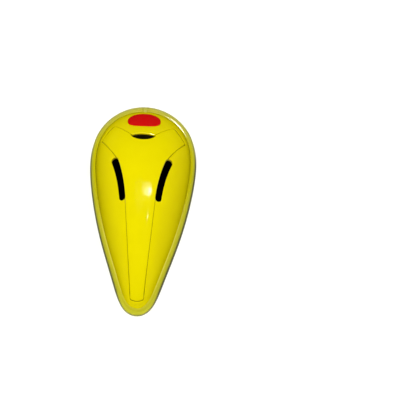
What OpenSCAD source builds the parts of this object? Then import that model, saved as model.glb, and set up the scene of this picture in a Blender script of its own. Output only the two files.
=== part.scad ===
// Groin protector: a hard vented cup with a bonded front panel, a soft
// U-shaped edging glued into a loop round its rim, and a plain rounded badge.
// The cup lies on its rim: +Z is the crown, +Y the wide top end, -Y the tip.
// The origin is in the rim's resting plane, midway along the length.

/* [Shell outline] */
// Length of the shell's edge from the top end to the tip
shell_len = 142.8; // [138:0.2:148]
// Shell width at 6 % of that length, measured from the top
w_crown = 45; // [43:0.5:47]
// Shell width at 16 % of the length
w_brow = 62.5; // [60:0.5:65]
// Shell width at 30 % of the length, the widest part
w_hip = 65.5; // [63:0.5:68]
// Shell width at 50 % of the length
w_waist = 57; // [55:0.5:59]
// Shell width at 72 % of the length
w_taper = 40; // [38:0.5:42]
// Shell width at 92 % of the length, just above the tip
w_tip = 21; // [20:0.5:22]

/* [Shell depth] */
// Height of the dome above the shell's edge at 9 % of the length from the top
h_brow = 23; // [21:0.5:25]
// Height of the dome at 22 % of the length
h_slope = 39; // [37:0.5:40]
// Height of the dome at 42 % of the length, its crown
h_peak = 46.5; // [45:0.5:48]
// Height of the dome at 68 % of the length
h_ridge = 36; // [34:0.5:38]
// Height of the dome at 92 % of the length
h_nose = 18; // [16:0.5:20]
// Exponent of the cross-section: 2 is an ellipse, more is fuller
fullness = 2.3; // [2:0.1:2.8]
// Wall thickness of the shell
wall = 2.2; // [1.8:0.1:2.6]
// Rise of the rim's top end out of the resting plane
arch_rise = 7; // [4:0.5:9]
// Place along the length where the rim leaves the resting plane
arch_from = 30; // [25:1:35]

/* [Side vents] */
// Upper end of a side vent's centre line, distance from the middle
vent_top_x = 18.3; // [17:0.1:19]
// Upper end of a side vent's centre line, place along the length
vent_top_y = 22.7; // [20:0.1:24]
// Lower end of a side vent's centre line, distance from the middle
vent_low_x = 12.1; // [11.5:0.1:13]
// Lower end of a side vent's centre line, place along the length
vent_low_y = -4.0; // [-6:0.1:-2]
// Bow of the vent's centre line towards the middle
vent_bow = 0.8; // [0:0.1:1.5]
// Vent width at its upper end
vent_top_w = 4.7; // [4:0.1:5.2]
// Vent width at its lower end
vent_low_w = 4.2; // [3.6:0.1:4.6]
// Outward lean of the vent's walls
vent_lean = 0; // [0:1:30]

/* [Crescent vent] */
// Width of the half-moon vent across its points
moon_w = 17; // [14:0.5:18]
// Place of the half-moon's points along the length
moon_y = 42.8; // [42:0.1:45]
// Rise of its upper edge above the points
moon_rise = 1.5; // [0.5:0.1:2]
// Depth of its lower edge below the points
moon_depth = 4.3; // [3.5:0.1:5.5]
// Lean of its walls towards the top end
moon_lean = 0; // [0:1:30]

/* [Front panel] */
// Depth that the panel is let into the shell
panel_sink = 0.85; // [0.6:0.05:1]
// Height that the panel stands proud of the shell
panel_proud = 0.15; // [0.1:0.05:0.3]
// Gap round the panel's edge
panel_gap = 0.25; // [0.1:0.05:0.3]
// Half width of the panel's leg just below the side vents
leg_top = 10.1; // [9.4:0.1:10.5]
// Half width of the panel's leg at its foot
leg_foot = 4.4; // [3.5:0.1:5]
// Place of the leg's foot along the length
leg_end = -66.2; // [-67.6:0.2:-62]
// Radius of the panel's corners
panel_r = 1.6; // [0.8:0.1:2]

/* [Seal] */
// Distance the seal stands out from the shell's edge
seal_out = 3.6; // [3:0.1:4.2]
// Distance the seal's inner lip reaches inside the shell's outer face
seal_in = 3.5; // [3.2:0.1:4]
// Height of the seal
seal_h = 6.4; // [5.6:0.1:7]
// Height of the channel's floor above the resting face
seal_floor = 2; // [1.6:0.1:2.4]
// Width of the flat land that the seal rests on
land_w = 3.4; // [2.8:0.1:3.8]
// Width of the glued joint at its outer edge
joint_w = 3.4; // [2:0.1:4]
// Width of the glued joint at its inner edge
joint_low_w = 0.8; // [0.5:0.1:1.2]

/* [Badge] */
// Width of the badge
badge_w = 22.6; // [20:0.2:23]
// Place of the badge's widest line along the length
badge_y = 57.5; // [56.5:0.1:58]
// Reach of its arched upper edge above that line, measured in plan
badge_up = 7.8; // [6.5:0.1:8]
// Reach of its flatter lower edge below that line, measured in plan
badge_low = 6.1; // [5:0.1:7]
// Thickness of the badge
badge_t = 0.7; // [0.5:0.1:1]

/* [Hidden] */
// Steps along the dome and across it
n_len = 44;
n_wide = 36;
w_at = [0.06, 0.16, 0.30, 0.50, 0.72, 0.92];
w_is = [w_crown, w_brow, w_hip, w_waist, w_taper, w_tip];
h_at = [0.09, 0.22, 0.42, 0.68, 0.92];
h_is = [h_brow, h_slope, h_peak, h_ridge, h_nose];

// ---- curves ----
function product(v, i = 0) = i >= len(v) ? 1 : v[i] * product(v, i + 1);
function total(v, i = 0) = i >= len(v) ? 0 : v[i] + total(v, i + 1);
// Polynomial that makes sqrt(t(1-t)) times itself pass through the values v
// at the stations s, so the curve is round at both ends
function fair(t, s, v) = total([for (i = [0 : len(s) - 1])
    v[i] / sqrt(s[i] * (1 - s[i])) *
    product([for (j = [0 : len(s) - 1]) if (j != i) (t - s[j]) / (s[i] - s[j])])]);
function along(a) = (1 - cos(a)) / 2;
function half_w(a) = sin(a) / 4 * fair(along(a), w_at, w_is);
function rise(a) = sin(a) / 2 * fair(along(a), h_at, h_is);
function arch(y) = arch_rise * pow(max(0, y - arch_from) / (75 - arch_from), 2);

// ---- dome ----
// Point of the dome: a runs from the top end (0) to the tip (180), b across
function dome_p(a, b) = [
    half_w(a) * sin(b),
    shell_len / 2 * cos(a),
    rise(a) * sign(cos(b)) * sqrt(max(0, 1 - pow(abs(sin(b)), fullness)))];
function unit(v) = v / norm(v);
function dome_n(a, b, e = 0.05) = unit(cross(
    dome_p(a, b + e) - dome_p(a, b - e), dome_p(a - e, b) - dome_p(a + e, b)));
function lift(p) = [p[0], p[1], p[2] + seal_floor + arch(p[1])];
// Dome surface moved outwards by d along its own normal, in place on the rim
function dome_off(a, b, d) = lift(dome_p(a, b) + d * dome_n(a, b));
// Height of the outer surface over a point in plan
function dome_z(x, y) = let (a = acos(2 * y / shell_len), w = half_w(a))
    seal_floor + arch(y) + rise(a) * sqrt(max(0, 1 - pow(min(1, abs(x) / w), fullness)));

// Solid under the dome moved by d, with its base lowered by drop
module dome(d = 0, drop = 0) {
    a0 = 4;
    m = n_wide + 3;
    loop = [for (i = [0 : n_len]) let (a = a0 + (180 - 2 * a0) * i / n_len) concat(
        [dome_off(a, -90, d) - [0, 0, drop]],
        [for (j = [0 : n_wide]) dome_off(a, -90 + 180 * j / n_wide, d)],
        [dome_off(a, 90, d) - [0, 0, drop]])];
    top = shell_len / 2 + d;
    pole = [lift([0, top, 0]), lift([0, top, 0]) - [0, 0, drop],
            lift([0, -top, 0]), lift([0, -top, 0]) - [0, 0, drop]];
    // with no drop the two lowered points of a loop are left out
    k = drop > 0 ? m : m - 2;
    pts = concat([for (l = loop) for (j = [0 : m - 1])
        if (drop > 0 || (j > 0 && j < m - 1)) l[j]], pole);
    q = k * (n_len + 1);
    side = [for (i = [0 : n_len - 1]) for (j = [0 : k - 1])
        let (p = i * k + j, r = i * k + (j + 1) % k)
        for (f = [[p, r, p + k], [r, r + k, p + k]]) f];
    fan0 = drop > 0
        ? concat([for (j = [1 : k - 3]) [j, q, j + 1]], [[0, q, 1], [0, q + 1, q],
            [k - 2, q, k - 1], [k - 1, q, q + 1], [k - 1, q + 1, 0]])
        : concat([for (j = [0 : k - 2]) [j, q, j + 1]], [[k - 1, q, 0]]);
    e = n_len * k;
    fan1 = drop > 0
        ? concat([for (j = [1 : k - 3]) [e + j + 1, q + 2, e + j]], [[e + 1, q + 2, e],
            [q + 2, q + 3, e], [e + k - 1, q + 2, e + k - 2],
            [q + 3, q + 2, e + k - 1], [e, q + 3, e + k - 1]])
        : concat([for (j = [0 : k - 2]) [e + j + 1, q + 2, e + j]], [[e, q + 2, e + k - 1]]);
    polyhedron(pts, concat(side, fan0, fan1));
}

// Wall between two offsets of the dome
module skin(outer, inner) {
    difference() {
        dome(outer);
        dome(inner, 6);
    }
}

// ---- vents ----
// Centre line of a side vent, bowed towards the middle, and its half width
function vent_c(s) = [
    vent_top_x + (vent_low_x - vent_top_x) * s - 4 * vent_bow * s * (1 - s),
    vent_top_y + (vent_low_y - vent_top_y) * s];
function vent_hw(s) = (vent_top_w + (vent_low_w - vent_top_w) * s) / 2;
function vent_dir(s) = unit(vent_c(s + 0.01) - vent_c(s - 0.01));
function vent_edge(s, side) = let (t = vent_dir(s))
    vent_c(s) + side * vent_hw(s) * [-t[1], t[0]];
function vent_cap(s, turn) = let (t = vent_dir(s)) [for (k = [1 : 7])
    let (g = 22.5 * k) vent_c(s) + vent_hw(s) * turn *
        (sin(g) * t - cos(g) * [-t[1], t[0]])];
vent_outline = concat(
    [for (k = [0 : 10]) vent_edge(k / 10, -1)], vent_cap(1, 1),
    [for (k = [10 : -1 : 0]) vent_edge(k / 10, 1)], vent_cap(0, -1));

module side_vent() {
    rotate([0, vent_lean, 0]) linear_extrude(height = 70)
        polygon([for (p = vent_outline)
            [p[0] * cos(vent_lean) - dome_z(p[0], p[1]) * sin(vent_lean), p[1]]]);
}

moon_outline = concat(
    [for (k = [0 : 16]) let (s = 1 - k / 8)
        [moon_w / 2 * s, moon_y + moon_rise * (1 - s * s)]],
    [for (k = [1 : 15]) let (s = k / 8 - 1)
        [moon_w / 2 * s, moon_y - moon_depth * pow(1 - s * s, 0.65)]]);

module crescent_vent() {
    rotate([-moon_lean, 0, 0]) linear_extrude(height = 80)
        polygon([for (p = moon_outline)
            [p[0], p[1] * cos(moon_lean) - dome_z(p[0], p[1]) * sin(moon_lean)]]);
}

module vents() {
    side_vent();
    mirror([1, 0, 0]) side_vent();
    crescent_vent();
}

// ---- front panel outline ----
// One half, from the crescent out along the wing, in to the side vent,
// down the vent and along the leg to its foot
panel_half = [
    [0, moon_y - 1], [moon_w / 2, moon_y], [20.8, 54.6], [28.9, 45],
    [vent_top_x - 0.9, vent_top_y + 2.5], [vent_top_x, vent_top_y], vent_c(0.5),
    [vent_low_x - 0.4, vent_low_y], [leg_top, vent_low_y - 1.2],
    [leg_foot, leg_end], [0, leg_end - 1.4]];

module panel_2d(grow = 0) {
    offset(delta = grow) offset(r = -panel_r) offset(r = 2 * panel_r) offset(r = -panel_r)
        polygon(concat(panel_half,
            [for (i = [len(panel_half) - 2 : -1 : 1]) [-panel_half[i][0], panel_half[i][1]]]));
}

// ---- seal ----
function rim_p(a) = [half_w(a), shell_len / 2 * cos(a)];
function rim_n(a) = let (t = unit(rim_p(a + 0.1) - rim_p(a - 0.1))) [-t[1], t[0]];
// Height of the shell's outer face above its edge, at a distance e out from
// the edge, and the distance at which that height is z
function face_h(a, e) = let (p = rim_p(a) + e * rim_n(a), g = acos(max(-1, min(1, 2 * p[1] / shell_len))))
    rise(g) * sqrt(max(0, 1 - pow(min(1, abs(p[0]) / max(0.01, half_w(g))), fullness)));
function lean(a, z, lo = -4, hi = 0, i = 0) = let (m = (lo + hi) / 2)
    i > 18 ? m : face_h(a, m) > z ? lean(a, z, m, hi, i + 1) : lean(a, z, lo, m, i + 1);
// Section of the seal as [distance out from the shell's edge, height]: the
// flat land, the outer bulge, the channel that grips the shell, the inner lip
seal_mid = (seal_out - seal_in) / 2;
seal_play = 0.1;
lip_h = seal_h - 1.4;
function seal_sec(a) = concat(
    [[seal_mid - land_w / 2, 0], [seal_mid + land_w / 2, 0]],
    [for (g = [-50 : 25 : 75]) [seal_out - 2.2 + 2.2 * cos(g), 2.8 + (g < 0 ? 2.6 : 3.1) * sin(g)]],
    [[0.6, seal_h - 0.1], [lean(a, seal_h - seal_floor) + seal_play, seal_h],
     [lean(a, 2.2) + seal_play, seal_floor + 2.2], [seal_play, seal_floor - seal_play],
     [-wall - seal_play, seal_floor - seal_play],
     [lean(a, 1.5) - wall - 1.5 * seal_play, seal_floor + 1.5],
     [lean(a, lip_h - seal_floor) - wall - 2 * seal_play, lip_h]],
    [for (g = [125 : 25 : 225]) [-seal_in + 1.7 + 1.7 * cos(g), 2.6 + 2.3 * sin(g)]]);
// The rings of the seal stand at the same places as the steps of the dome
ring_at = concat([for (i = [0 : n_len]) 4 + 172 * i / n_len], [180],
    [for (i = [n_len : -1 : 0]) 356 - 172 * i / n_len]);
function ring(a) = let (p = rim_p(a), n = rim_n(a))
    [for (s = seal_sec(a)) let (q = p + s[0] * n) [q[0], q[1], s[1] + arch(q[1])]];
// End of the seal at the joint, on one of the two faces of its V
function ring_end(side) = [for (s = seal_sec(0)) let (y = shell_len / 2 + s[0],
        k = (s[0] + seal_in) / (seal_out + seal_in))
    [side * (joint_low_w + (joint_w - joint_low_w) * k) / 2, y, s[1] + arch(y)]];

// Solid through a row of like rings, closed at both ends
module sweep(rings) {
    k = len(rings[0]);
    n = len(rings);
    polyhedron([for (r = rings) for (p = r) p], concat(
        [for (i = [0 : n - 2]) for (j = [0 : k - 1])
            let (p = i * k + j, r = i * k + (j + 1) % k)
            for (f = [[p, p + k, r], [r, p + k, r + k]]) f],
        [[for (j = [0 : k - 1]) j]],
        [[for (j = [k - 1 : -1 : 0]) (n - 1) * k + j]]));
}

// ---- pieces ----
module cup_shell() {
    color([0.95, 0.87, 0.02]) resize([0, 0, 0]) difference() {
        skin(0, -wall);
        vents();
        intersection() {
            skin(1, -panel_sink);
            linear_extrude(height = 60) panel_2d(panel_gap);
        }
    }
}

module front_panel() {
    color([0.97, 0.90, 0.05]) resize([0, 0, 0]) difference() {
        intersection() {
            skin(panel_proud, -panel_sink);
            linear_extrude(height = 60) panel_2d();
        }
        vents();
    }
}

module rim_seal() {
    color([0.86, 0.83, 0.45])
        sweep(concat([ring_end(1)], [for (a = ring_at) ring(a)], [ring_end(-1)]));
}

module seal_joint() {
    color([0.72, 0.70, 0.60]) sweep([ring_end(-1), ring_end(1)]);
}

module badge() {
    color([0.80, 0.05, 0.04]) resize([0, 0, 0]) intersection() {
        skin(badge_t, 0);
        translate([0, badge_y, 0]) linear_extrude(height = 60)
            polygon([for (g = [0 : 7.5 : 352.5]) let (e = g < 180 ? 1 : 0.667) [
                badge_w / 2 * sign(cos(g)) * pow(abs(cos(g)), e),
                (g < 180 ? badge_up : badge_low) * sign(sin(g)) * pow(abs(sin(g)), e)]]);
    }
}

cup_shell();
front_panel();
rim_seal();
seal_joint();
badge();
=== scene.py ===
import math

import bmesh
import bpy
import numpy as np
from mathutils import Matrix, Vector
from mathutils.geometry import delaunay_2d_cdt


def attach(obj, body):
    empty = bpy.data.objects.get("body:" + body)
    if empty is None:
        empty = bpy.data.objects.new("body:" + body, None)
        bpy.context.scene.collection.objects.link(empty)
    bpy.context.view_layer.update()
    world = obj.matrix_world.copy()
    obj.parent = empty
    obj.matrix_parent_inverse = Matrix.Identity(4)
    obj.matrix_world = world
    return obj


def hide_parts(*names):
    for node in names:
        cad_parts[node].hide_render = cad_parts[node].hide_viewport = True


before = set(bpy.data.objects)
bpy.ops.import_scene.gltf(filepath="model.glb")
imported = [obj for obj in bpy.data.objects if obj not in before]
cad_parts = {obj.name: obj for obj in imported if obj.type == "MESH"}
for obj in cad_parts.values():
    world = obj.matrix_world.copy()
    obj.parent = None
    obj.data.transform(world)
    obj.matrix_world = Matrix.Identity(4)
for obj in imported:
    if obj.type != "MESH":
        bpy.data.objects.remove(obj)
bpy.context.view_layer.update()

MM = 0.001
PI = math.pi

# ---------------------------------------------------------------------------
# Measures of the cup in millimetres, the same as in the construction model
# ---------------------------------------------------------------------------
LEN, WALL, FULL = 142.8, 2.2, 2.3
W_AT = np.array([0.06, 0.16, 0.30, 0.50, 0.72, 0.92])
W_IS = np.array([45, 62.5, 65.5, 57, 40, 21.0])
H_AT = np.array([0.09, 0.22, 0.42, 0.68, 0.92])
H_IS = np.array([23, 39, 46.5, 36, 18.0])
ARCH_RISE, ARCH_FROM = 7.0, 30.0
VENT_TOP, VENT_LOW = np.array([18.3, 22.7]), np.array([12.1, -4.0])
VENT_BOW, VENT_TOP_W, VENT_LOW_W = 0.8, 4.7, 4.2
MOON_W, MOON_Y, MOON_RISE, MOON_DEPTH = 17.0, 42.8, 1.5, 4.3
SINK, PROUD, GAP = 0.85, 0.14, 0.25
LEG_TOP, LEG_FOOT, LEG_END, PANEL_R = 10.1, 4.4, -66.2, 1.6
SEAL_OUT, SEAL_IN, SEAL_H, SEAL_FLOOR, LAND_W = 3.58, 3.5, 6.4, 2.0, 3.4
PRESSED = 0.38
JOINT_W, JOINT_LOW_W, PLAY = 3.4, 0.8, 0.1
LIP_H, LIP_SLOPE, LIP_PLAY = SEAL_H - 1.4, 0.098, 0.025
BADGE_W, BADGE_Y, BADGE_UP, BADGE_LOW = 22.6, 57.5, 7.8, 6.1

W_POLY = np.polyfit(W_AT, W_IS / np.sqrt(W_AT * (1 - W_AT)), len(W_AT) - 1)
H_POLY = np.polyfit(H_AT, H_IS / np.sqrt(H_AT * (1 - H_AT)), len(H_AT) - 1)


def half_w(a):
    return np.sin(a) / 4 * np.polyval(W_POLY, (1 - np.cos(a)) / 2)


def rise(a):
    return np.sin(a) / 2 * np.polyval(H_POLY, (1 - np.cos(a)) / 2)


def arch(y):
    return ARCH_RISE * (np.maximum(0, y - ARCH_FROM) / (75 - ARCH_FROM)) ** 2


def stack(x, y, z):
    x, y, z = np.broadcast_arrays(x, y, z)
    return np.stack([x, y, z], -1)


def unit(v):
    return v / np.maximum(np.linalg.norm(v, axis=-1, keepdims=True), 1e-12)


def dome_p(a, b):
    """Point of the bare dome: a runs from the top end (0) to the tip (pi), b across."""
    s = np.sin(b)
    z = rise(a) * np.sign(np.cos(b)) * np.sqrt(np.maximum(0, 1 - np.abs(s) ** FULL))
    return stack(half_w(a) * s, LEN / 2 * np.cos(a), z)


def dome_n(a, b, e=math.radians(0.05)):
    return unit(np.cross(dome_p(a, b + e) - dome_p(a, b - e), dome_p(a - e, b) - dome_p(a + e, b)))


def dome_off(a, b, d):
    """Dome moved by d along its normal, in place on the rim."""
    p = dome_p(a, b) + np.asarray(d)[..., None] * dome_n(a, b)
    return p + stack(0, 0, SEAL_FLOOR + arch(p[..., 1]))


def face_n(a, b, d, e=math.radians(0.05)):
    """Normal of the moved dome, the rim's arch included."""
    return unit(np.cross(dome_off(a, b + e, d) - dome_off(a, b - e, d),
                         dome_off(a - e, b, d) - dome_off(a + e, b, d)))


def plan_ab(p):
    a = np.arccos(np.clip(2 * p[..., 1] / LEN, -1, 1))
    return a, np.arcsin(np.clip(p[..., 0] / np.maximum(half_w(a), 1e-9), -1, 1))


# The dome rolled out flat: u is the way across from the ridge, v the way along
# it from the tip, so that lengths are nearly true all over
_A = np.linspace(0, PI, 1801)
_B = np.linspace(0, PI / 2, 121)
_G = dome_p(_A[:, None], _B[None, :])
_G = _G + stack(0, 0, SEAL_FLOOR + arch(_G[..., 1]))
_C = np.linalg.norm(np.diff(_G, axis=1), axis=-1).sum(1)
_V = np.concatenate([[0], np.cumsum(np.linalg.norm(np.diff(_G[:, 0], axis=0), axis=-1))])
_V = _V[-1] - _V


def to_uv(a, b):
    return np.stack([b * 2 / PI * np.interp(a, _A, _C), np.interp(a, _A, _V)], -1)


def from_uv(q):
    a = np.interp(q[..., 1], _V[::-1], _A[::-1])
    c = np.maximum(np.interp(a, _A, _C), 1e-6)
    return a, np.clip(q[..., 0] / c * PI / 2, -PI / 2, PI / 2)


# ---------------------------------------------------------------------------
# Outlines
# ---------------------------------------------------------------------------
def rounded(pts, r, seg=6):
    """Closed outline with its corners rounded to radius r, or less where an edge is short."""
    pts = np.asarray(pts, float)
    out, n = [], len(pts)
    for i in range(n):
        p, q, s = pts[i - 1], pts[i], pts[(i + 1) % n]
        d0, d1 = p - q, s - q
        l0, l1 = np.linalg.norm(d0), np.linalg.norm(d1)
        d0, d1 = d0 / l0, d1 / l1
        turn = PI - math.acos(max(-1, min(1, float(d0 @ d1))))
        if turn < 0.03:
            out.append(q)
            continue
        rr = r[i] if hasattr(r, "__len__") else r
        t = min(rr * math.tan(turn / 2), 0.45 * l0, 0.45 * l1)
        k = max(2, int(math.ceil(seg * turn / 1.2)))
        p0, p1 = q + d0 * t, q + d1 * t
        rr = t / math.tan(turn / 2)
        mid = q + unit(d0 + d1) * math.hypot(rr, t)
        v0, v1 = p0 - mid, p1 - mid
        a0 = math.atan2(v0[1], v0[0])
        da = (math.atan2(v1[1], v1[0]) - a0 + PI) % (2 * PI) - PI
        for j in range(k + 1):
            g = a0 + da * j / k
            out.append(mid + rr * np.array([math.cos(g), math.sin(g)]))
    return np.array(out)


def softened(pts, r):
    """Closed outline with each corner turned into a short curve that starts r before it; every corner gives as many points."""
    pts = np.asarray(pts, float)
    r = np.asarray(r, float)
    d0, d1 = np.roll(pts, 1, 0) - pts, np.roll(pts, -1, 0) - pts
    l0, l1 = np.linalg.norm(d0, axis=1), np.linalg.norm(d1, axis=1)
    t = np.minimum(r, 0.45 * np.minimum(l0, l1))
    p0, p1 = pts + d0 * (t / l0)[:, None], pts + d1 * (t / l1)[:, None]
    rows = [p0 * (1 - s) ** 2 + 2 * pts * s * (1 - s) + p1 * s * s for s in (0, 1 / 3, 2 / 3, 1)]
    return np.stack(rows, 1).reshape(-1, 2)


def dense(pts, step):
    """Closed outline with no edge longer than step."""
    out, n = [], len(pts)
    for i in range(n):
        p, q = pts[i], pts[(i + 1) % n]
        k = max(1, int(math.ceil(np.linalg.norm(q - p) / step)))
        out += [p + (q - p) * j / k for j in range(k)]
    out = np.array(out)
    keep = np.linalg.norm(out - np.roll(out, 1, 0), axis=1) > 1e-6
    return out[keep]


def loop_normals(q):
    """Outward normals of a closed counter-clockwise outline."""
    t = unit(np.roll(q, -1, 0) - q)
    n = unit(t + np.roll(t, 1, 0))
    half = np.clip((n * t).sum(1), 0.5, 1)
    return np.stack([n[:, 1], -n[:, 0]], -1) / half[:, None]


def area(q):
    s = np.roll(q, -1, 0)
    return 0.5 * float((q[:, 0] * s[:, 1] - s[:, 0] * q[:, 1]).sum())


def ccw(q):
    return q if area(q) > 0 else q[::-1]


def vent_c(s):
    s = np.asarray(s, float)[..., None]
    return VENT_TOP + (VENT_LOW - VENT_TOP) * s - np.array([4 * VENT_BOW, 0]) * s * (1 - s)


def vent_outline():
    s = np.linspace(0, 1, 46)
    t = unit(vent_c(s + 0.01) - vent_c(s - 0.01))
    nrm = np.stack([-t[:, 1], t[:, 0]], -1)
    hw = (VENT_TOP_W + (VENT_LOW_W - VENT_TOP_W) * s)[:, None] / 2
    g = np.linspace(0, PI, 16)[1:-1, None]
    low = vent_c(1.0) + hw[-1] * (np.sin(g) * t[-1] - np.cos(g) * nrm[-1])
    top = vent_c(0.0) - hw[0] * (np.sin(g) * t[0] - np.cos(g) * nrm[0])
    return ccw(np.concatenate([vent_c(s) - hw * nrm, low, (vent_c(s) + hw * nrm)[::-1], top]))


def moon_outline():
    s = np.cos(np.linspace(0, PI, 41))
    up = np.stack([MOON_W / 2 * s, MOON_Y + MOON_RISE * (1 - s * s)], -1)
    s = -s[1:-1]
    low = np.stack([MOON_W / 2 * s, MOON_Y - MOON_DEPTH * np.maximum(0, 1 - s * s) ** 0.65], -1)
    return ccw(np.concatenate([up, low]))


def panel_outline(grow=0.0, short=0.0, foot=0.0):
    moon_end, vent_end = np.array([MOON_W / 2 - 0.9, MOON_Y - 0.1]), np.array([VENT_TOP[0] - 0.9, VENT_TOP[1] + 2.5])
    wing_up, wing_low = np.array([20.8, 54.6]), np.array([28.9, 45.0])
    # a shorter wing keeps the lines of its upper and its lower edge
    half = [[0, MOON_Y - 1], list(moon_end),
            list(wing_up - short * unit(wing_up - moon_end)), list(wing_low - short * unit(wing_low - vent_end)),
            list(vent_end), list(VENT_TOP), list(vent_c(0.5)),
            [VENT_LOW[0] - 0.4, VENT_LOW[1]], [LEG_TOP, VENT_LOW[1] - 1.2],
            [LEG_FOOT, LEG_END + foot]]
    half += [[LEG_FOOT * s, LEG_END - 1.4 * (1 - s * s) + foot] for s in (0.72, 0.48, 0.24, 0)]
    full = half + [[-x, y] for x, y in half[-2:0:-1]]
    q = ccw(dense(rounded(full, PANEL_R), 0.6))
    return q + grow * loop_normals(q)


VENT_R = vent_outline()
VENT_L = ccw(VENT_R * np.array([-1, 1]))
MOON = moon_outline()
VENTS = [VENT_R, VENT_L, MOON]
CUT_DIR = np.array([0.0, 0.0, 1.0])


def inside(pts, loop):
    """Which points lie inside a closed outline."""
    out = np.zeros(len(pts), bool)
    x, y = pts[:, 0], pts[:, 1]
    for (x0, y0), (x1, y1) in zip(loop, np.roll(loop, -1, 0)):
        if y0 == y1:
            continue
        hit = (y0 > y) != (y1 > y)
        out[hit] ^= x[hit] < x0 + (y[hit] - y0) * (x1 - x0) / (y1 - y0)
    return out


def triangulate(loops, extra=None):
    """Constrained triangles through the loops and extra points: points, triangles, index of each point given."""
    pts, edges, base = [], [], 0
    for q in loops:
        pts.append(q)
        edges += [(base + i, base + (i + 1) % len(q)) for i in range(len(q))]
        base += len(q)
    if extra is not None and len(extra):
        pts.append(extra)
    pts = np.concatenate(pts)
    co, _, tri, orig, _, _ = delaunay_2d_cdt(
        [Vector((float(p[0]), float(p[1]))) for p in pts], edges, [], 0, 1e-6, True)
    where = np.full(len(pts), -1)
    for i, o in enumerate(orig):
        for j in o:
            where[j] = i
    return np.array([c[:] for c in co]), np.array(tri), where


def boundary(tri):
    """Loops round a set of counter-clockwise triangles, as lists of point indices."""
    e = {(int(t[i]), int(t[(i + 1) % 3])) for t in tri for i in range(3)}
    after = {i: j for i, j in e if (j, i) not in e}
    loops = []
    while after:
        start = next(iter(after))
        loop, i = [], start
        while i in after:
            loop.append(i)
            i = after.pop(i)
        loops.append(loop)
    return loops


def ccw_tris(co, tri):
    p, q, r = co[tri[:, 0]], co[tri[:, 1]], co[tri[:, 2]]
    s = (q[:, 0] - p[:, 0]) * (r[:, 1] - p[:, 1]) - (q[:, 1] - p[:, 1]) * (r[:, 0] - p[:, 0])
    tri = tri.copy()
    tri[s < 0] = tri[s < 0][:, ::-1]
    return tri


def grid_points(step, away, gap, holes=(), within=None):
    """Staggered points over the rolled-out dome, clear of the outlines in away."""
    rows = []
    for i, v in enumerate(np.arange(_V.min() + step * 0.7, _V.max() - step * 0.5, step * 0.87)):
        a = np.interp(v, _V[::-1], _A[::-1])
        c = np.interp(a, _A, _C) - gap
        if c <= 0:
            continue
        k = int(c / step) + 1
        u = (np.arange(-k, k + 1) + (0.5 if i % 2 else 0)) * step
        u = u[np.abs(u) < c]
        rows.append(np.stack([u, np.full(len(u), v)], -1))
    p = np.concatenate(rows)
    for h in holes:
        p = p[~inside(p, h)]
    if within is not None:
        p = p[inside(p, within)]
    ref = np.concatenate(away)
    keep = np.ones(len(p), bool)
    for i in range(0, len(p), 2000):
        d = np.linalg.norm(p[i:i + 2000, None] - ref[None], axis=-1).min(1)
        keep[i:i + 2000] = d > gap
    return p[keep]


def cut_foot(p, way, depth):
    """Where a cut along way through plan point p of the outer face meets the level depth below it, as a, b."""
    a, b = plan_ab(p)
    top = dome_off(a, b, np.zeros(len(p)))
    n = dome_n(a, b)
    t = depth / np.maximum((n * way).sum(-1), 0.3)
    for _ in range(8):
        at = top - t[:, None] * way
        # foot of that point on the outer face
        fa, fb = a, b
        for _ in range(6):
            n = dome_n(fa, fb)
            flat = at - stack(0, 0, SEAL_FLOOR + arch(at[:, 1]))
            foot = flat + depth * n
            fa, fb = plan_ab(foot)
        err = ((dome_p(fa, fb) - foot) * n).sum(-1)
        t = t - err / np.maximum((n * way).sum(-1), 0.3)
    return fa, fb


# ---------------------------------------------------------------------------
# Mesh building
# ---------------------------------------------------------------------------
def close(me):
    """Fills the pinholes at the corners and turns every face outwards."""
    bm = bmesh.new()
    bm.from_mesh(me)
    gaps = [e for e in bm.edges if e.is_boundary]
    if gaps:
        bmesh.ops.holes_fill(bm, edges=gaps, sides=0)
    bmesh.ops.recalc_face_normals(bm, faces=bm.faces[:])
    if bm.calc_volume(signed=True) < 0:
        bmesh.ops.reverse_faces(bm, faces=bm.faces[:])
    bm.to_mesh(me)
    bm.free()


class Build:
    def __init__(self):
        self.v, self.n, self.f, self.marks = [], [], [], {}

    def add(self, pts, normals=None, **marks):
        """Adds points and returns their indices. A mark is a number per point that the finish reads."""
        base = len(self.v)
        pts = np.asarray(pts, float).reshape(-1, 3)
        self.v += [tuple(p) for p in pts]
        for k, x in marks.items():
            self.marks.setdefault(k, {}).update(zip(range(base, base + len(pts)), np.broadcast_to(x, len(pts))))
        self.n += [tuple(x) for x in (normals if normals is not None else np.zeros_like(pts))]
        return np.arange(base, base + len(pts))

    def tris(self, t):
        self.f += [tuple(int(i) for i in x) for x in t]

    def strip(self, r0, r1, closed=True):
        """Quads between two rows of as many points."""
        n = len(r0)
        for i in range(n if closed else n - 1):
            j = (i + 1) % n
            self.f.append((int(r0[i]), int(r0[j]), int(r1[j]), int(r1[i])))

    def make(self, name, material, node, slot):
        me = bpy.data.meshes.new(name)
        me.from_pydata([(x * MM, y * MM, z * MM) for x, y, z in self.v], [], self.f)
        me.validate()
        close(me)
        for k, x in self.marks.items():
            if len(me.vertices) == len(self.v):
                me.attributes.new(k, "FLOAT", "POINT").data.foreach_set(
                    "value", [float(x.get(i, 0.0)) for i in range(len(self.v))])
        me.polygons.foreach_set("use_smooth", [True] * len(me.polygons))
        if any(any(abs(c) > 1e-9 for c in n) for n in self.n) and len(me.vertices) == len(self.n):
            me.normals_split_custom_set_from_vertices(self.n)
        me.update()
        o = bpy.data.objects.new(name, me)
        bpy.context.scene.collection.objects.link(o)
        me.materials.append(material)
        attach(o, "root")
        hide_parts(node)
        return o


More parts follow.
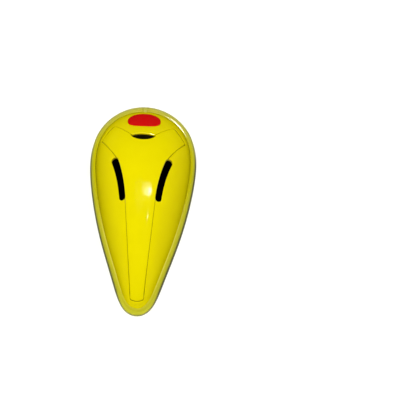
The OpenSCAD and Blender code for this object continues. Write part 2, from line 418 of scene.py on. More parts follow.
LEAF_A = np.interp(np.linspace(0, 1, 161)[1:-1], np.linspace(0, 1, 1801),
                   np.interp(np.linspace(0, 1, 1801), np.concatenate([[0], np.cumsum(np.linalg.norm(
                       np.diff(_G[:, -1], axis=0), axis=-1))]) / np.linalg.norm(
                           np.diff(_G[:, -1], axis=0), axis=-1).sum(), _A))
LEAF_AB = np.concatenate([
    np.stack([np.concatenate([[0], LEAF_A]), np.full(len(LEAF_A) + 1, PI / 2)], -1),
    np.stack([np.concatenate([[PI], LEAF_A[::-1]]), np.full(len(LEAF_A) + 1, -PI / 2)], -1)])
LEAF = to_uv(LEAF_AB[:, 0], LEAF_AB[:, 1])
if area(LEAF) < 0:
    LEAF_AB, LEAF = LEAF_AB[::-1], LEAF[::-1]


def level(q, d):
    """Points and normals of rolled-out points q on the dome moved by d."""
    a, b = from_uv(q)
    a = np.clip(a, 0.004, PI - 0.004)
    d = np.broadcast_to(np.asarray(d, float), a.shape)
    return dome_off(a, b, d), face_n(a, b, d)


def leaf_points(d):
    a = np.clip(LEAF_AB[:, 0], 0.004, PI - 0.004)
    d = np.full(len(a), float(d))
    return dome_off(a, LEAF_AB[:, 1], d), face_n(a, LEAF_AB[:, 1], d)


def owner_of(p):
    """Which vent's edge each plan point lies on, or -1."""
    out = np.full(len(p), -1)
    for k, v in enumerate(VENTS):
        s = np.roll(v, -1, 0)
        d = s - v
        t = np.clip(((p[:, None] - v[None]) * d[None]).sum(-1) / (d * d).sum(-1)[None], 0, 1)
        near = np.linalg.norm(p[:, None] - (v + t[..., None] * d), axis=-1).min(1)
        out[near < 1e-4] = k
    return out


def edge_uv(p, own, depth):
    """Rolled-out place of plan points p at a depth below the outer face, straight down from it."""
    if abs(depth) > 1e-9:
        return to_uv(*cut_foot(p, CUT_DIR, depth))
    return to_uv(*plan_ab(p))


def steep(p):
    """How much longer than in plan the outer face is at plan points p."""
    return 1 / np.clip(dome_n(*plan_ab(p))[:, 2], 0.42, 1)


def smooth_loop(r, times=3):
    for _ in range(times):
        r = (np.roll(r, 1) + 2 * r + np.roll(r, -1)) / 4
    return r


def build_shell():
    g = panel_outline(GAP)
    co, tri, _ = triangulate([g] + VENTS)
    tri = ccw_tris(co, tri)
    mid = co[tri].mean(1)
    in_g = inside(mid, g)
    in_v = np.zeros(len(mid), bool)
    for v in VENTS:
        in_v |= inside(mid, v)
    hole = max(boundary(tri[in_g | in_v]), key=len)
    floor = max(boundary(tri[in_g & ~in_v]), key=len)
    vents = boundary(tri[in_v])
    own = owner_of(co)
    m = Build()
    at = {}

    # outer face, its hole widened by the radius of its rounded lip
    hp, ho = co[hole], own[hole]
    lip = smooth_loop(np.choose(ho + 1, (0.38 * steep(hp), 0.18, 0.18, 0.9)))
    q0 = edge_uv(hp, ho, 0)
    out = loop_normals(q0)
    wide = q0 + lip[:, None] * out
    extra = grid_points(1.05, [wide, LEAF], 0.55, holes=[wide])
    uv, t, where = triangulate([LEAF, wide], extra)
    t = ccw_tris(uv, t)
    mid = uv[t].mean(1)
    t = t[inside(mid, LEAF) & ~inside(mid, wide)]
    p, n = level(uv, 0.0)
    nl = len(LEAF)
    p[where[:nl]], n[where[:nl]] = leaf_points(0)
    # the rim mark is where painted light lightens the shell next to the edging
    top = m.add(p, n, rim=np.clip((SEAL_H + 3.2 + arch(p[:, 1]) - p[:, 2]) / 2.8, 0, 1))
    m.tris(top[t])
    rim_out = top[where[:nl]]
    row = top[where[nl:nl + len(wide)]]
    steps = 4
    for j in range(1, steps + 1):
        th = PI / 2 * j / steps
        dep = lip * (1 - math.cos(th))
        # the depth is near enough the same all round for the cut's own place
        q = edge_uv(hp, ho, float(dep.mean())) + (lip * (1 - math.sin(th)))[:, None] * out
        pp, _ = level(q, -dep)
        # the groove mark is painted shade, deeper down the lip
        nxt = m.add(pp, groove=(0, 0, 0.15, 0.45, 0.85)[j], lip=np.choose(ho + 1, (0, 1, 1, 0)))
        m.strip(row, nxt)
        row = nxt
    for i, k in zip(hole, row):
        at[("edge", i)] = k

    # floor of the panel's recess
    fp, fo = co[floor], own[floor]
    qf = edge_uv(fp, fo, SINK)
    extra = grid_points(2.2, [qf], 0.9, within=qf)
    uv, t, where = triangulate([qf], extra)
    t = ccw_tris(uv, t)
    t = t[inside(uv[t].mean(1), qf)]
    p, n = level(uv, -SINK)
    # the recess floor takes the full painted shade
    ids = m.add(p, n, groove=1.0)
    m.tris(ids[t])
    for i, k in zip(floor, ids[where[:len(floor)]]):
        at[("floor", i)] = k
    # step between the outer face and the recess
    fl, hl = set(floor), list(hole)
    for x, y in zip(hl, hl[1:] + hl[:1]):
        if x in fl and y in fl and not (own[x] >= 0 and own[y] >= 0):
            m.f.append((int(at["edge", x]), int(at["edge", y]), int(at["floor", y]), int(at["floor", x])))

    # inner face with the vents' rounded inner lips
    inner_wide, walls = [], []
    r2 = 0.3
    for loop in vents:
        vp = co[loop]
        k = int(np.bincount(own[loop][own[loop] >= 0]).argmax())
        vo = np.full(len(loop), k)
        q = edge_uv(vp, vo, WALL)
        inner_wide.append(q + r2 * loop_normals(q))
        walls.append((loop, vp, vo))
    extra = grid_points(1.15, inner_wide + [LEAF], 0.55, holes=inner_wide)
    uv, t, where = triangulate([LEAF] + inner_wide, extra)
    t = ccw_tris(uv, t)
    mid = uv[t].mean(1)
    keep = inside(mid, LEAF)
    for q in inner_wide:
        keep &= ~inside(mid, q)
    t = t[keep]
    p, n = level(uv, -WALL)
    p[where[:nl]], n[where[:nl]] = leaf_points(-WALL)
    ids = m.add(p, -n)
    m.tris(ids[t][:, ::-1])
    rim_in = ids[where[:nl]]
    m.strip(rim_out[::-1], rim_in[::-1])
    base = nl
    for (loop, vp, vo), q in zip(walls, inner_wide):
        row = ids[where[base:base + len(loop)]]
        base += len(loop)
        for j in range(1, 5):
            th = PI / 2 * j / 4
            dep = WALL - r2 * (1 - math.cos(th))
            s = edge_uv(vp, vo, dep)
            pp, _ = level(s + r2 * (1 - math.sin(th)) * loop_normals(s), -dep)
            # painted shade down the vents' inner lips and walls
            nxt = m.add(pp, groove=(0, 0, 0.15, 0.45, 0.85)[j], lip=1.0)
            m.strip(nxt, row)
            row = nxt
        low = dict(zip(loop, row))
        in_hole = set(hole)
        for x, y in zip(loop, loop[1:] + loop[:1]):
            if ("edge", x) in at and ("edge", y) in at and not (x in fl and y in fl):
                f = [at["edge", x], at["edge", y]]
                if y in fl:
                    f.append(at["floor", y])
                f += [low[y], low[x]]
                if x in fl:
                    f.append(at["floor", x])
                m.f.append(tuple(int(i) for i in f))
            else:
                m.f.append((int(at["floor", x]), int(at["floor", y]), int(low[y]), int(low[x])))
    return m


def build_panel():
    g = panel_outline(0.13, short=0.55, foot=0.12)
    co, tri, _ = triangulate([g] + VENTS)
    tri = ccw_tris(co, tri)
    mid = co[tri].mean(1)
    keep = inside(mid, g)
    for v in VENTS:
        keep &= ~inside(mid, v)
    loop = max(boundary(tri[keep]), key=len)
    p0, own = co[loop], owner_of(co)[loop]
    m = Build()
    # the edges that face the tip are sharper
    keen = (p0[:, 1] < LEG_END + 2) | ((np.abs(p0[:, 0]) > 19) & (p0[:, 1] > 31) & (p0[:, 1] < 45))
    r = smooth_loop(np.where(own >= 0, 0.18, np.where(keen, 0.22, 0.42) * steep(p0)))
    q0 = edge_uv(p0, own, -PROUD)
    inw = -loop_normals(q0)
    narrow = q0 + r[:, None] * inw
    extra = grid_points(1.05, [narrow], 0.55, within=narrow)
    uv, t, where = triangulate([narrow], extra)
    t = ccw_tris(uv, t)
    t = t[inside(uv[t].mean(1), narrow)]
    p, n = level(uv, PROUD)
    ids = m.add(p, n)
    m.tris(ids[t])
    row = ids[where[:len(loop)]]
    steps = 4
    for j in range(1, steps + 1):
        th = PI / 2 * j / steps
        dep = r * (1 - math.cos(th)) - PROUD
        q = edge_uv(p0, own, float(dep.mean())) + (r * (1 - math.sin(th)))[:, None] * inw
        pp, _ = level(q, -dep)
        # painted shade down the panel's rounded edge
        nxt = m.add(pp, groove=(0, 0, 0.15, 0.45, 0.85)[j], lip=np.choose(own + 1, (0, 1, 1, 0.4)))
        m.strip(nxt, row)
        row = nxt
    low = SINK - 0.03
    qb = edge_uv(p0, own, low)
    extra = grid_points(2.2, [qb], 0.9, within=qb)
    uv, t, where = triangulate([qb], extra)
    t = ccw_tris(uv, t)
    t = t[inside(uv[t].mean(1), qb)]
    p, n = level(uv, -low)
    # painted shade on the panel's underside in the recess
    ids = m.add(p, -n, groove=1.0)
    m.tris(ids[t][:, ::-1])
    m.strip(ids[where[:len(loop)]], row)
    return m


# ---------------------------------------------------------------------------
# Seal
# ---------------------------------------------------------------------------
def rim_p(a):
    return np.stack([half_w(a), LEN / 2 * np.cos(a)], -1)


def rim_n(a, e=math.radians(0.1)):
    t = unit(rim_p(a + e) - rim_p(a - e))
    return np.stack([-t[..., 1], t[..., 0]], -1)


def face_h(a, e):
    p = rim_p(a) + e[..., None] * rim_n(a)
    g = np.arccos(np.clip(2 * p[..., 1] / LEN, -1, 1))
    return rise(g) * np.sqrt(np.maximum(0, 1 - np.minimum(1, np.abs(p[..., 0]) / np.maximum(0.01, np.abs(half_w(g)))) ** FULL))


def lean(a, z):
    """How far inside the shell's edge its outer face is at the height z above that edge."""
    lo, hi = np.full(np.shape(a), -4.0), np.zeros(np.shape(a))
    for _ in range(30):
        m = (lo + hi) / 2
        up = face_h(a, m) > z
        lo, hi = np.where(up, m, lo), np.where(up, hi, m)
    return (lo + hi) / 2


def touching(y):
    """1 where the rim lies on the floor, 0 where its top end lifts off."""
    return np.clip(1 - arch(y) / 1.8, 0, 1)


def seal_section(l44, l22, l15, l30, out):
    """Section of the seal as distance out from the shell's edge and height, with soft corners, and its marks."""
    mid = (SEAL_OUT - SEAL_IN) / 2
    out_g, in_g = range(-60, 81, 10), range(120, 231, 10)
    # the outside is one long ramp from the widest line up to a narrow lip, which lies flat against the shell
    ramp_w, lip_w = out - (l44 + PLAY) - 0.55, 0.95 + PLAY - LIP_PLAY
    out_arc = [[out - (2.2 if g < 0 else ramp_w) * (1 - math.cos(math.radians(g))),
                2.8 + (2.6 if g < 0 else 3.5) * math.sin(math.radians(g))] for g in out_g]
    in_arc = [[-SEAL_IN + 1.7 + 1.7 * math.cos(math.radians(g)),
               2.6 + 2.3 * math.sin(math.radians(g))] for g in in_g]
    lip = [[l44 + LIP_PLAY + t, SEAL_H - LIP_SLOPE * t] for t in (lip_w, lip_w - 0.14, 0.24, 0.1)] + [[l44 + LIP_PLAY, SEAL_H - 0.14]]
    pts = [[mid - LAND_W / 2, 0], [mid + LAND_W / 2, 0]] + out_arc + lip + [
        [l22 + PLAY, SEAL_FLOOR + 2.2], [PLAY, SEAL_FLOOR - PLAY], [-WALL - PLAY, SEAL_FLOOR - PLAY],
        [l15 - WALL - 1.5 * PLAY, SEAL_FLOOR + 1.5],
        [l30 - WALL - 2 * PLAY, LIP_H]] + in_arc
    r = [0.5, 0.5] + [0.15] * len(out_arc) + [0.05, 0.03, 0.03, 0.05, 0.05, 0.4, 0.2, 0.2, 0.3, 0.25] + [0.12] * len(in_arc)
    rest = len(pts) - 2 - len(out_arc)
    # edge is where painted shade darkens the outer side, gloss where the lip is smoother, crest where a painted
    # highlight lies, outer where painted light lightens the tip
    edge = [0, 0] + [max(0.0, 1 - max(g - 14, 0) / 30 - max(-8 - g, 0) / 25) for g in out_g] + [0] * rest
    gloss = [0, 0] + [max(0.0, (g - 50) / 40) for g in out_g] + [0.9, 1, 1, 1, 0.6] + [0] * (rest - 5)
    crest = [0, 0] + [0] * len(out_arc) + [0.15, 0.3, 1, 1, 0.8] + [0] * (rest - 5)
    outer = [0, 0] + [min(1.0, max(0.0, (70 - g) / 40)) for g in out_g] + [0] * rest
    return softened(pts, r), np.repeat(edge, 4), np.repeat(gloss, 4), np.repeat(crest, 4), np.repeat(outer, 4)


def seal_rings(angles):
    l = [lean(angles, z) for z in (SEAL_H - SEAL_FLOOR, 2.2, 1.5, LIP_H - SEAL_FLOOR)]
    out = SEAL_OUT - PRESSED * touching(LEN / 2 * np.cos(angles))
    secs = [seal_section(*[float(x[i]) for x in l], float(out[i])) for i in range(len(angles))]
    return secs


def build_seal():
    a0 = math.radians(3.0)
    s = np.linspace(0, 1, 181)
    rim = rim_p(_A)
    arc = np.concatenate([[0], np.cumsum(np.linalg.norm(np.diff(rim, axis=0), axis=1))])
    right = np.interp(np.interp(a0, _A, arc) + s * (arc[-1] - np.interp(a0, _A, arc)), arc, _A)
    angles = np.concatenate([right, (2 * PI - right)[::-1][1:]])
    m = Build()
    fold = np.where(angles > PI, 2 * PI - angles, angles)
    secs = seal_rings(np.clip(fold, 0.02, PI - 0.02))
    rows = []

    def end(side):
        sec = seal_rings(np.array([0.02]))[0][0]
        y = LEN / 2 + sec[:, 0]
        w = (JOINT_LOW_W + (JOINT_W - JOINT_LOW_W) * (sec[:, 0] + SEAL_IN) / (SEAL_OUT + SEAL_IN)) / 2
        return stack(side * w, y, sec[:, 1] + arch(y))

    # painted shade darkens the outer edge, more along the sides; the lip is warm; a painted highlight makes it pale
    # along the lower sides; painted light lightens the tip; and the top is milky
    def painted_light_and_tone(p, n, edge, lip, crest, outer):
        side = min(1.0, max(0.0, (abs(n[0]) - 0.55) / 0.35))
        low = min(1.0, max(0.0, (6 - p[1]) / 24)) * min(1.0, max(0.2, (p[1] + 66) / 20))
        top = min(1.0, max(0.0, (p[1] - 40) / 22))
        return {"edge": (0.3 + 0.7 * side if p[1] > -40 else side) * edge,
                "lip": min(1.0, max(-0.6, (p[1] + 5) / 30)) * lip,
                "pale": low * crest, "warm": (1 - 0.6 * top) * lip, "milky": top,
                "painted_tip_light": min(1.0, max(0.0, (-56 - p[1]) / 12)) * outer}

    top = painted_light_and_tone(np.array([0, LEN / 2]), np.array([0, 1.0]), *secs[0][1:])
    rows.append(m.add(end(1), **top))
    for a, (sec, edge, lip, crest, outer) in zip(angles, secs):
        p, n = rim_p(a), rim_n(a)
        q = p + sec[:, :1] * n
        rows.append(m.add(stack(q[:, 0], q[:, 1], sec[:, 1] + arch(q[:, 1])), **painted_light_and_tone(p, n, edge, lip, crest, outer)))
    rows.append(m.add(end(-1), **top))
    for r0, r1 in zip(rows, rows[1:]):
        m.strip(r1, r0)
    m.f.append(tuple(int(i) for i in rows[0]))
    m.f.append(tuple(int(i) for i in rows[-1][::-1]))
    return m, end


def build_joint(end):
    m = Build()
    e0, e1 = end(-1), end(1)
    rows = []
    for s in np.linspace(0, 1, 7):
        p = e0 + (e1 - e0) * s
        rows.append(m.add(p, cloudy=np.clip((3.6 - p[:, 2] + arch(p[:, 1])) / 1.6, 0, 1)))
    for r0, r1 in zip(rows, rows[1:]):
        m.strip(r1, r0)
    m.f.append(tuple(int(i) for i in rows[0]))
    m.f.append(tuple(int(i) for i in rows[-1][::-1]))
    return m


# ---------------------------------------------------------------------------
# Badge
# ---------------------------------------------------------------------------
def build_badge():
    m = Build()
    g = np.linspace(0, 2 * PI, 121)[:-1]
    power = np.where(np.sin(g) > 0, 1.0, 0.667)
    ex = np.sign(np.cos(g)) * np.abs(np.cos(g)) ** power
    ey = np.sign(np.sin(g)) * np.abs(np.sin(g)) ** power
    edge = np.stack([BADGE_W / 2 * ex, np.where(ey > 0, BADGE_UP, BADGE_LOW) * ey], -1)
    prof = [(1.0, 0.02), (1.0, 0.3), (0.995, 0.42), (0.985, 0.5), (0.965, 0.555), (0.94, 0.58)]
    prof += [(s, 0.58 + 0.1 * (1 - (s / 0.94) ** 2)) for s in np.linspace(0.88, 0.08, 12)]

    def at(s, h):
        p = edge * s + np.array([0, BADGE_Y])
        a, b = plan_ab(p)
        return dome_off(a, b, np.full(len(p), h))

    rows = [m.add(at(s, h)) for s, h in prof]
    for r0, r1 in zip(rows, rows[1:]):
        m.strip(r0, r1)
    a, b = plan_ab(np.array([[0, BADGE_Y]]))
    top = m.add(dome_off(a, b, np.array([0.68])))[0]
    for i in range(len(g)):
        m.f.append((int(rows[-1][i]), int(rows[-1][(i + 1) % len(g)]), int(top)))
    under = [m.add(at(s, 0.02)) for s in (0.75, 0.5, 0.25)]
    last = rows[0]
    for r in under:
        m.strip(r, last)
        last = r
    low = m.add(dome_off(a, b, np.array([0.02])))[0]
    for i in range(len(g)):
        m.f.append((int(last[(i + 1) % len(g)]), int(last[i]), int(low)))
    return m


# ---------------------------------------------------------------------------
# Materials
# ---------------------------------------------------------------------------
def new_material(name):
    mat = bpy.data.materials.new(name)
    mat.use_nodes = True
    nt = mat.node_tree
    return mat, nt, nt.nodes["Principled BSDF"]


def node(nt, kind, **inputs):
    n = nt.nodes.new(kind)
    for k, v in inputs.items():
        n.inputs[k.replace("_", " ")].default_value = v
    return n


def noise(nt, scale, detail=3.0, rough=0.5):
    tc = nt.nodes.get("Texture Coordinate") or nt.nodes.new("ShaderNodeTexCoord")
    n = node(nt, "ShaderNodeTexNoise", Scale=scale, Detail=detail, Roughness=rough)
    nt.links.new(tc.outputs["Object"], n.inputs["Vector"])
    return n


def ramp(nt, src, stops):
    r = nt.nodes.new("ShaderNodeValToRGB")
    while len(r.color_ramp.elements) < len(stops):
        r.color_ramp.elements.new(0.5)
    for e, (pos, c) in zip(r.color_ramp.elements, stops):
        e.position = pos
        e.color = (*c, 1) if len(c) == 3 else c
    nt.links.new(src, r.inputs["Fac"])
    return r


def remap(nt, src, lo, hi, a=0.3, b=0.7):
    r = nt.nodes.new("ShaderNodeMapRange")
    for k, v in zip(("From Min", "From Max", "To Min", "To Max"), (a, b, lo, hi)):
        r.inputs[k].default_value = v
    nt.links.new(src, r.inputs["Value"])
    return r


def mark(nt, name):
    n = nt.nodes.new("ShaderNodeAttribute")
    n.attribute_name = name
    return n.outputs["Fac"]


def blend(nt, factor, one, two):
    """Colour one where the factor is 0, two where it is 1; two is a colour or a socket."""
    n = nt.nodes.new("ShaderNodeMix")
    n.data_type = "RGBA"
    nt.links.new(factor, n.inputs[0])
    for k, c in ((6, one), (7, two)):
        if isinstance(c, tuple):
            n.inputs[k].default_value = (*c, 1)
        else:
            nt.links.new(c, n.inputs[k])
    return n.outputs[2]


def sum_of(nt, one, two, times):
    """Socket one plus a multiple of socket two."""
    n = nt.nodes.new("ShaderNodeMath")
    n.operation = "MULTIPLY_ADD"
    nt.links.new(two, n.inputs[0])
    n.inputs[1].default_value = times
    nt.links.new(one, n.inputs[2])
    return n.outputs[0]


def plastic(name, dark, light, rough, groove=None, rim=None):
    """Glossy moulded plastic: faint flow marks in the colour, uneven gloss, a slight orange peel and fine scuffs."""
    mat, nt, b = new_material(name)
    flow = noise(nt, 55, 3, 0.5)
    col = ramp(nt, flow.outputs["Fac"], [(0.3, dark), (0.7, light)]).outputs["Color"]
    if rim:
        # painted light: the shell's colour is lightened just above the soft edging, as if light came through it
        col = blend(nt, mark(nt, "rim"), col, rim)
    # painted shade: the groove mark darkens the colour in the panel's groove, its recess and the vents' walls
    if groove:
        col = blend(nt, mark(nt, "groove"), col, groove)
    nt.links.new(col, b.inputs["Base Color"])
    gl = noise(nt, 130, 4, 0.6)
    gl = remap(nt, gl.outputs["Fac"], rough * 0.8, rough * 1.25).outputs["Result"]
    if groove:
        # the cut edges are duller than the moulded faces
        gl = sum_of(nt, gl, mark(nt, "lip"), 0.4)
    nt.links.new(gl, b.inputs["Roughness"])
    peel = noise(nt, 420, 2, 0.5)
    bump = node(nt, "ShaderNodeBump", Strength=0.035, Distance=0.0004)
    nt.links.new(peel.outputs["Fac"], bump.inputs["Height"])
    nt.links.new(bump.outputs["Normal"], b.inputs["Normal"])
    b.inputs["IOR"].default_value = 1.47
    b.inputs["Specular IOR Level"].default_value = 0.4
    return mat


# painted shade for the grooves, the recess and the vents' walls
GROOVE_SHADE = (0.42, 0.345, 0.004)
# the last colour is painted light on the shell just above the soft edging
YELLOW = plastic("shell_yellow", (0.845, 0.713, 0.0), (0.88, 0.753, 0.0), 0.09, GROOVE_SHADE, (0.97, 0.84, 0.0))
YELLOW_PANEL = plastic("panel_yellow", (0.855, 0.728, 0.0), (0.89, 0.768, 0.0), 0.085, GROOVE_SHADE)

SEAL, nt, b = new_material("seal_soft")
cloud = noise(nt, 90, 3, 0.55)
col = ramp(nt, cloud.outputs["Fac"], [(0.3, (0.51, 0.495, 0.005)), (0.7, (0.56, 0.545, 0.009))]).outputs["Color"]
# painted shade on the seal's outer side, darker along the sides and a little uneven
shade_noise = noise(nt, 260, 4, 0.6)
painted_light_and_tone = nt.nodes.new("ShaderNodeMath")
painted_light_and_tone.operation = "MULTIPLY"
nt.links.new(mark(nt, "edge"), painted_light_and_tone.inputs[0])
nt.links.new(remap(nt, shade_noise.outputs["Fac"], 0.93, 1.0).outputs["Result"], painted_light_and_tone.inputs[1])
col = blend(nt, mark(nt, "milky"), col, (0.53, 0.505, 0.075))
# painted shade on the outer side
col = blend(nt, painted_light_and_tone.outputs[0], col, (0.20, 0.195, 0.022))
# painted light: the tip's outer face lightened
col = blend(nt, mark(nt, "painted_tip_light"), col, (0.76, 0.74, 0.010))
col = blend(nt, mark(nt, "warm"), col, (0.57, 0.525, 0.003))
# painted highlight: pale lines along the lip on the lower sides
col = blend(nt, mark(nt, "pale"), col, (0.74, 0.71, 0.09))
nt.links.new(col, b.inputs["Base Color"])
b.inputs["Subsurface Weight"].default_value = 0.25
b.inputs["Subsurface Radius"].default_value = (0.004, 0.0036, 0.0012)
b.inputs["Subsurface Scale"].default_value = 0.4
b.inputs["IOR"].default_value = 1.7
gl = noise(nt, 160, 3, 0.6)
gl = remap(nt, gl.outputs["Fac"], 0.36, 0.46).outputs["Result"]
nt.links.new(sum_of(nt, gl, mark(nt, "lip"), -0.35), b.inputs["Roughness"])
b.inputs["Specular IOR Level"].default_value = 0.6
peel = noise(nt, 700, 2, 0.5)
bump = node(nt, "ShaderNodeBump", Strength=0.03, Distance=0.0003)
nt.links.new(peel.outputs["Fac"], bump.inputs["Height"])
nt.links.new(bump.outputs["Normal"], b.inputs["Normal"])

GLUE, nt, b = new_material("seal_glue")
cloud = noise(nt, 700, 4, 0.6)
col = ramp(nt, cloud.outputs["Fac"], [(0.3, (0.34, 0.32, 0.17)), (0.7, (0.52, 0.49, 0.30))]).outputs["Color"]
clean = ramp(nt, cloud.outputs["Fac"], [(0.3, (0.50, 0.475, 0.065)), (0.7, (0.55, 0.525, 0.085))]).outputs["Color"]
nt.links.new(blend(nt, mark(nt, "cloudy"), clean, col), b.inputs["Base Color"])
nt.links.new(remap(nt, cloud.outputs["Fac"], 0.2, 0.45).outputs["Result"], b.inputs["Roughness"])
bump = node(nt, "ShaderNodeBump", Strength=0.2, Distance=0.0003)
nt.links.new(cloud.outputs["Fac"], bump.inputs["Height"])
nt.links.new(bump.outputs["Normal"], b.inputs["Normal"])

RED = plastic("badge_red", (0.68, 0.0025, 0.002), (0.74, 0.003, 0.0025), 0.16)

# ---------------------------------------------------------------------------
# Pieces
# ---------------------------------------------------------------------------
body = build_shell().make("shell_body", YELLOW, "cup_shell", "shell_yellow")
panel = build_panel().make("panel_plate", YELLOW_PANEL, "front_panel", "panel_yellow")
seal, seal_end = build_seal()
edging = seal.make("seal_edging", SEAL, "rim_seal", "seal_soft")
# the soft edging lets light through, and the shell does not mirror it
edging.visible_glossy = edging.visible_shadow = False
build_joint(seal_end).make("seal_joint_fill", GLUE, "seal_joint", "seal_glue")
badge = build_badge().make("badge_plate", RED, "badge", "badge_red")

# ---------------------------------------------------------------------------
# Floor: pale, cut out under the cup, and clear when it is seen from below
# ---------------------------------------------------------------------------
t = np.linspace(0, 2 * PI, 241)[:-1]
fold = np.clip(np.where(t > PI, 2 * PI - t, t), 0.01, PI - 0.01)
rp, rn = rim_p(fold), rim_n(fold)
# contact shadow: a dark line on the floor along the seal's foot, gone where the rim lifts off
touch = touching(rp[:, 1])
touch *= 1 - 0.3 * np.clip((-55 - rp[:, 1]) / 15, 0, 1)
slide = np.where(rn[:, 1] > 0, 1.02, 0.7) * rn[:, 1]
foot = [rp + (d + slide)[:, None] * rn for d in (3.3, 3.7, 4.1)]
rp = rp + 0.9 * rn
for q in [rp] + foot:
    q[:, 0] *= np.where(t > PI, -1, 1)
# painted shade: the floor goes on under the raised top end, ever darker
deep = rp * 0.985
deep[:, 1] = np.minimum(deep[:, 1], 54)
far = [np.array([math.sin(x), math.cos(x)]) for x in t]
rings = [[(p[0] * MM, p[1] * MM, 0) for p in q] for q in [deep, rp] + foot]
for r in (0.2, 1.0, 12.0):
    rings.append([(f[0] * r, f[1] * r, 0) for f in far])
fv = [p for r in rings for p in r]
n = len(t)
ff = [(k * n + i, (k + 1) * n + i, (k + 1) * n + (i + 1) % n, k * n + (i + 1) % n)
      for k in range(len(rings) - 1) for i in range(n)]
me = bpy.data.meshes.new("floor")
me.from_pydata(fv, [], ff)
me.update()
if me.polygons[0].normal.z < 0:
    me.flip_normals()
floor = bpy.data.objects.new("floor", me)
bpy.context.scene.collection.objects.link(floor)
floor.visible_glossy = floor.visible_shadow = False
lit = me.attributes.new("lit", "FLOAT", "POINT")
shade = [0 * touch] + [1 - k * touch for k in (0.8, 0.8, 0.3)]
lit.data.foreach_set("value", list(np.concatenate(shade)) + [1.0] * (len(fv) - 4 * n))
FLOOR, nt, b = new_material("floor_pale")
deep = nt.nodes.new("ShaderNodeMath")
deep.operation = "POWER"
nt.links.new(mark(nt, "lit"), deep.inputs[0])
deep.inputs[1].default_value = 3.0
nt.links.new(blend(nt, deep.outputs[0], (0.004, 0.004, 0.004), (0.97, 0.97, 0.97)), b.inputs["Base Color"])
nt.links.new(blend(nt, deep.outputs[0], (0, 0, 0), (1, 1, 1)), b.inputs["Emission Color"])
b.inputs["Emission Strength"].default_value = 0.08
b.inputs["Roughness"].default_value = 0.7
b.inputs["Specular IOR Level"].default_value = 0.1
geo = nt.nodes.new("ShaderNodeNewGeometry")
clear = nt.nodes.new("ShaderNodeBsdfTransparent")
mix = nt.nodes.new("ShaderNodeMixShader")
nt.links.new(geo.outputs["Backfacing"], mix.inputs[0])
nt.links.new(b.outputs[0], mix.inputs[1])
nt.links.new(clear.outputs[0], mix.inputs[2])
nt.links.new(mix.outputs[0], nt.nodes["Material Output"].inputs["Surface"])
me.materials.append(FLOOR)

# ---------------------------------------------------------------------------
# Camera: almost straight down on the front, a little from the tip's side
# ---------------------------------------------------------------------------
theta, phi, rho = math.radians(20.0), math.radians(-1.4), math.radians(-2.6)
e1 = Vector((math.cos(phi), 0, math.sin(phi)))
e2 = Vector((-math.sin(phi) * math.sin(theta), math.cos(theta), math.cos(phi) * math.sin(theta)))
right = e1 * math.cos(rho) - e2 * math.sin(rho)
up = e1 * math.sin(rho) + e2 * math.cos(rho)
back = right.cross(up)
SCALE, FRAME_PX, ORIGIN_PX = 1.465, 416.0, (141.06, 213.71)
dist = 2.0
focal = SCALE / MM * (dist - 0.02)
# the camera stands straight over the cup and is turned so that the cup is at its place in the frame
yaw = math.atan((FRAME_PX / 2 - ORIGIN_PX[0]) / focal)
pitch = math.atan((ORIGIN_PX[1] - FRAME_PX / 2) / focal * math.cos(yaw))
axis = right * math.sin(yaw) - back * math.cos(yaw)
cam_right = right * math.cos(yaw) + back * math.sin(yaw)
look = axis * math.cos(pitch) + up * math.sin(pitch)
cam_up = up * math.cos(pitch) - axis * math.sin(pitch)
cam_data = bpy.data.cameras.new("camera")
cam_data.sensor_width = 36
cam_data.lens = focal * 36 / FRAME_PX
cam_data.clip_end = 50
cam = bpy.data.objects.new("camera", cam_data)
bpy.context.scene.collection.objects.link(cam)
rot = Matrix((cam_right, cam_up, -look)).transposed()
cam.matrix_world = Matrix.Translation(back * dist) @ rot.to_4x4()
bpy.context.scene.camera = cam

# ---------------------------------------------------------------------------
# Light
# ---------------------------------------------------------------------------
def lamp(name, way, distance, size, power, colour=(1, 1, 1), size_y=None, across=None):
    d = bpy.data.lights.new(name, "AREA")
    d.shape = "RECTANGLE" if size_y else "DISK"
    d.size = size
    if size_y:
        d.size_y = size_y
    d.energy = power
    d.color = colour
    o = bpy.data.objects.new(name, d)
    way = Vector(way).normalized()
    o.location = way * distance + Vector((0, 0, 0.02))
    o.rotation_mode = "QUATERNION"
    o.rotation_quaternion = way.to_track_quat("Z", "Y")
    if across is not None:
        x = (Vector(across) - Vector(across).dot(way) * way).normalized()
        o.rotation_quaternion = Matrix((x, way.cross(x), way)).transposed().to_quaternion()
    o.visible_camera = False
    bpy.context.scene.collection.objects.link(o)
    return o


def mirror_way(px, py):
    """Direction a lamp has to stand in to be mirrored to the camera at a pixel of the front face."""
    a, b = np.meshgrid(np.linspace(0.1, PI - 0.1, 400), np.linspace(-1.4, 1.4, 281), indexing="ij")
    p = dome_off(a.ravel(), b.ravel(), np.zeros(a.size))
    q = p * MM - np.array(back) * dist
    deep = q @ np.array(look)
    sx = FRAME_PX / 2 + focal * (q @ np.array(cam_right)) / deep
    sy = FRAME_PX / 2 - focal * (q @ np.array(cam_up)) / deep
    i = int(np.argmin((sx - px) ** 2 + (sy - py) ** 2))
    n = face_n(a.ravel()[i:i + 1], b.ravel()[i:i + 1], np.zeros(1))[0]
    v = unit(-q[i])
    return 2 * (n @ v) * n - v


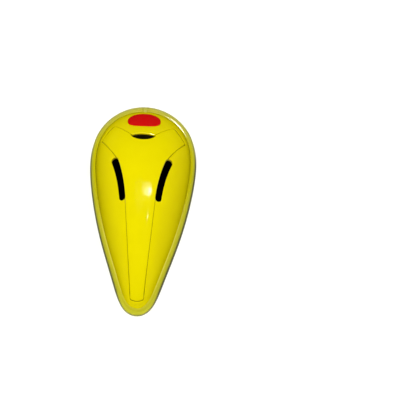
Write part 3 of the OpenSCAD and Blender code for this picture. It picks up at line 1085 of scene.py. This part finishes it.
def lip_way(a, slope=LIP_SLOPE):
    """Direction a lamp has to stand in to be mirrored to the camera by the seal's lip at the rim angle a."""
    def at(g, t):
        p = rim_p(g) + (lean(np.array([g]), SEAL_H - SEAL_FLOOR)[0] + PLAY + t) * rim_n(g)
        return np.array([p[0], p[1], SEAL_H - slope * t + arch(p[1])])
    n = unit(np.cross(at(a - 0.02, 0.4) - at(a + 0.02, 0.4), at(a, 0.6) - at(a, 0.2)))
    n = n * np.sign(n[2])
    v = unit(np.array(back) * dist - at(a, 0.4) * MM)
    return 2 * (n @ v) * n - v


def moon_way(x, turn):
    """Direction a lamp has to stand in to be mirrored to the camera by the rounded lip over the half-moon vent."""
    a, b = plan_ab(np.array([[x, MOON_Y + MOON_RISE * (1 - (2 * x / MOON_W) ** 2)]]))
    n = dome_n(a, b)[0]
    d = unit(np.array([0, -1.0, 0]) + n[1] * n)
    n = n * math.cos(turn) + d * math.sin(turn)
    v = unit(np.array(back) * dist - dome_off(a, b, np.zeros(1))[0] * MM)
    return 2 * (n @ v) * n - v


soft = lamp("soft_top", (-0.03, -0.085, 0.98), 3.0, 1.7, 68.8)
soft.visible_glossy = False
for side in (-1, 1):
    lamp("soft_side_%s" % ("right" if side > 0 else "left"), (side, 0, 0.2), 2.0, 0.8, 1.9).visible_glossy = False
# the lamps whose mirror images are the highlights: a bright core in wider, weaker fans
keys = [(name, mirror_way(*px), mirror_way(px[0] + 3, px[1]) - mirror_way(px[0] - 3, px[1]), size, size_y, power)
        for name, px, size, size_y, power in (
            ("key_core", (149.7, 190.7), 0.42, 0.12, 2.7),
            ("key_mid", (148.4, 190.5), 0.80, 0.24, 3.2),
            ("key_wide", (147.3, 188.6), 0.98, 0.40, 2.8),
            ("key_low", (147.3, 217.1), 0.06, 0.055, 0.35))]
keys.append(("key_lip", lip_way(0.51), lip_way(0.66) - lip_way(0.42), 0.29, 0.09, 0.86))
over = moon_way(9.0, 0.42) - moon_way(1.5, 0.42)
wide, tall = 1.6 * np.linalg.norm(over), 1.6 * np.linalg.norm(moon_way(5.2, 0.6) - moon_way(5.2, 0.25))
keys.append(("key_moon", moon_way(5.2, 0.42), over, float(wide), float(tall), 45 * PI * PI / 4 * float(wide * tall)))
for name, way, over, size, size_y, power in keys:
    o = lamp(name, way, 1.6, size, power, size_y=size_y, across=over)
    o.data.shape = "ELLIPSE"
    o.visible_diffuse = False
    # one lamp is for the streak on the soft edging, one for the glint over the half-moon vent, the others for the front
    lit = bpy.data.collections.new(name)
    for piece in {"key_lip": (edging,), "key_moon": (body,)}.get(name, (body, panel, badge)):
        lit.objects.link(piece)
    o.light_linking.receiver_collection = lit
# from below, the second one for the soft edging alone, which the dark floor along its foot would leave dull
lamp("under", (0.0, 0.1, -1), 1.6, 0.9, 18).visible_glossy = False
o = lamp("under_edging", (0.0, 0.0, -1), 1.6, 0.9, 14)
o.visible_glossy = False
lit = bpy.data.collections.new("under_edging")
lit.objects.link(edging)
o.light_linking.receiver_collection = lit

world = bpy.data.worlds.new("world")
bpy.context.scene.world = world
world.use_nodes = True
wt = world.node_tree
bg = wt.nodes["Background"]
tc = wt.nodes.new("ShaderNodeTexCoord")
sep = wt.nodes.new("ShaderNodeSeparateXYZ")
wt.links.new(tc.outputs["Generated"], sep.inputs[0])
wr = ramp(wt, sep.outputs["Z"], [(0.0, (0.0, 0.0, 0.0)), (0.02, (1, 1, 1)), (1.0, (1, 1, 1))])
wt.links.new(wr.outputs["Color"], bg.inputs["Color"])
bg.inputs["Strength"].default_value = 0.32
world.cycles_visibility.glossy = False

scene = bpy.context.scene
scene.view_settings.view_transform = "Standard"
scene.view_settings.look = "None"
